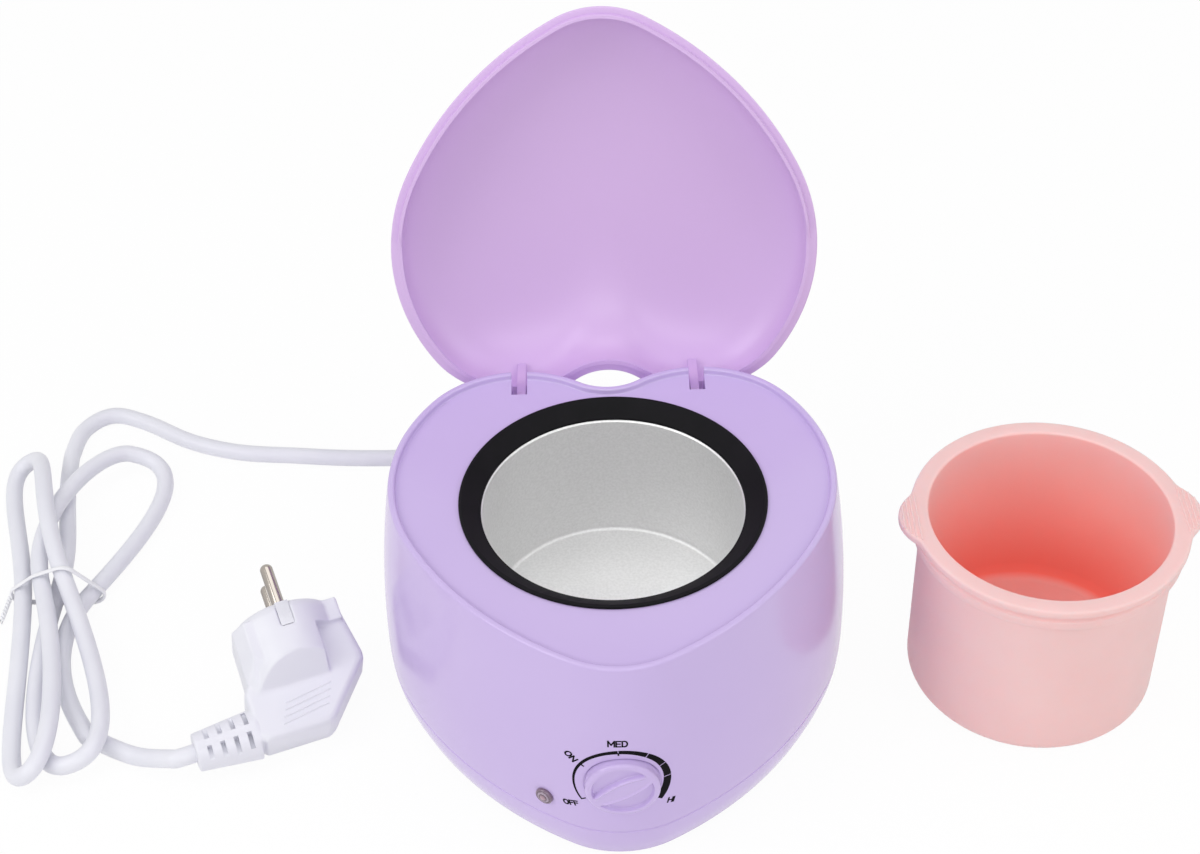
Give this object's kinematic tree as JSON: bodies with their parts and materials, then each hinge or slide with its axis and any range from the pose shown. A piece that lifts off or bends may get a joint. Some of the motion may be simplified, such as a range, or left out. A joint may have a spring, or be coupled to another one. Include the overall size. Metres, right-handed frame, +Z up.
{
  "type": "wax warmer",
  "caption": "Heart-shaped wax warmer with a hinged lid, a heated metal well, a rotary heat dial, a lift-out silicone pot and a tied mains lead with an angled plug.",
  "frame": {"origin": "middle of the base cover's flat underside, straight below the axis of the heating well", "axes": "+Z up along the well's axis; +Y from the heart's tip to the hinge; the feet reach 2 mm below the origin"},
  "size_m": [0.457, 0.249, 0.2222],
  "materials": {
    "lavender_shell": "glossy moulded",
    "black_ring": "satin moulded",
    "aluminium_pot": "satin spun",
    "rubber": "matt",
    "steel": "zinc plated",
    "mica": "pressed sheet",
    "fuse": "drawn",
    "thermostat": "ceramic and moulded case",
    "lens": "clear tinted",
    "neon": "clear",
    "white_nylon": "moulded",
    "brass": "turned",
    "lead_white": "extruded",
    "lead_brown": "extruded",
    "lead_red": "extruded",
    "lead_blue": "extruded",
    "lead_green": "extruded",
    "silicone": "matt silicone",
    "white_pvc": "smooth extruded and moulded",
    "nickel": "plated"
  },
  "bodies": {
    "base": {"outer_shell": "lavender_shell", "base_cover": "lavender_shell", "rubber_feet": "rubber", "base_screws": "steel", "well_ring": "black_ring", "heating_pot": "aluminium_pot", "pot_clips": "steel", "clip_screws": "steel", "heater_band": "mica", "band_screw": "steel", "thermal_fuse": "fuse", "fuse_clip": "steel", "thermostat": "thermostat", "thermostat_nut": "steel", "indicator_lens": "lens", "neon_lamp": "neon", "terminal_block": "white_nylon", "terminal_screws": "brass", "cord_clamp": "white_nylon", "clamp_screws": "steel", "inner_lead": "lead_white", "live_lead": "lead_brown", "load_lead": "lead_red", "fuse_lead": "lead_red", "neutral_lead": "lead_blue", "earth_lead": "lead_green", "lamp_leads": "lead_white", "hinge_pins": "steel", "cord_gland": "white_pvc", "power_cord": "white_pvc", "cord_hank": "white_pvc", "cord_tie": "white_pvc", "cord_tail": "white_pvc", "plug_body": "white_pvc", "plug_pins": "nickel", "plug_earth": "nickel"},
    "lid": {"lid": "lavender_shell"},
    "dial": {"knob": "lavender_shell", "spindle": "steel"},
    "wax_pot": {"silicone_pot": "silicone"}
  },
  "joints": [
    {"name": "lid_hinge", "type": "hinge", "parent": "base", "child": "lid", "pos_m": [0, 0.06382, 0.0815], "axis": [1, 0, 0], "range_deg": [0, 104.5]},
    {"name": "dial_turn", "type": "hinge", "parent": "base", "child": "dial", "pos_m": [0, -0.08566, 0.04], "axis": [0, 1, 0], "range_deg": [0, 240]},
    {"name": "pot_lift", "type": "slide", "parent": "base", "child": "wax_pot", "axis": [0, 0, 1], "range_m": [0, 0.12]}
  ]
}
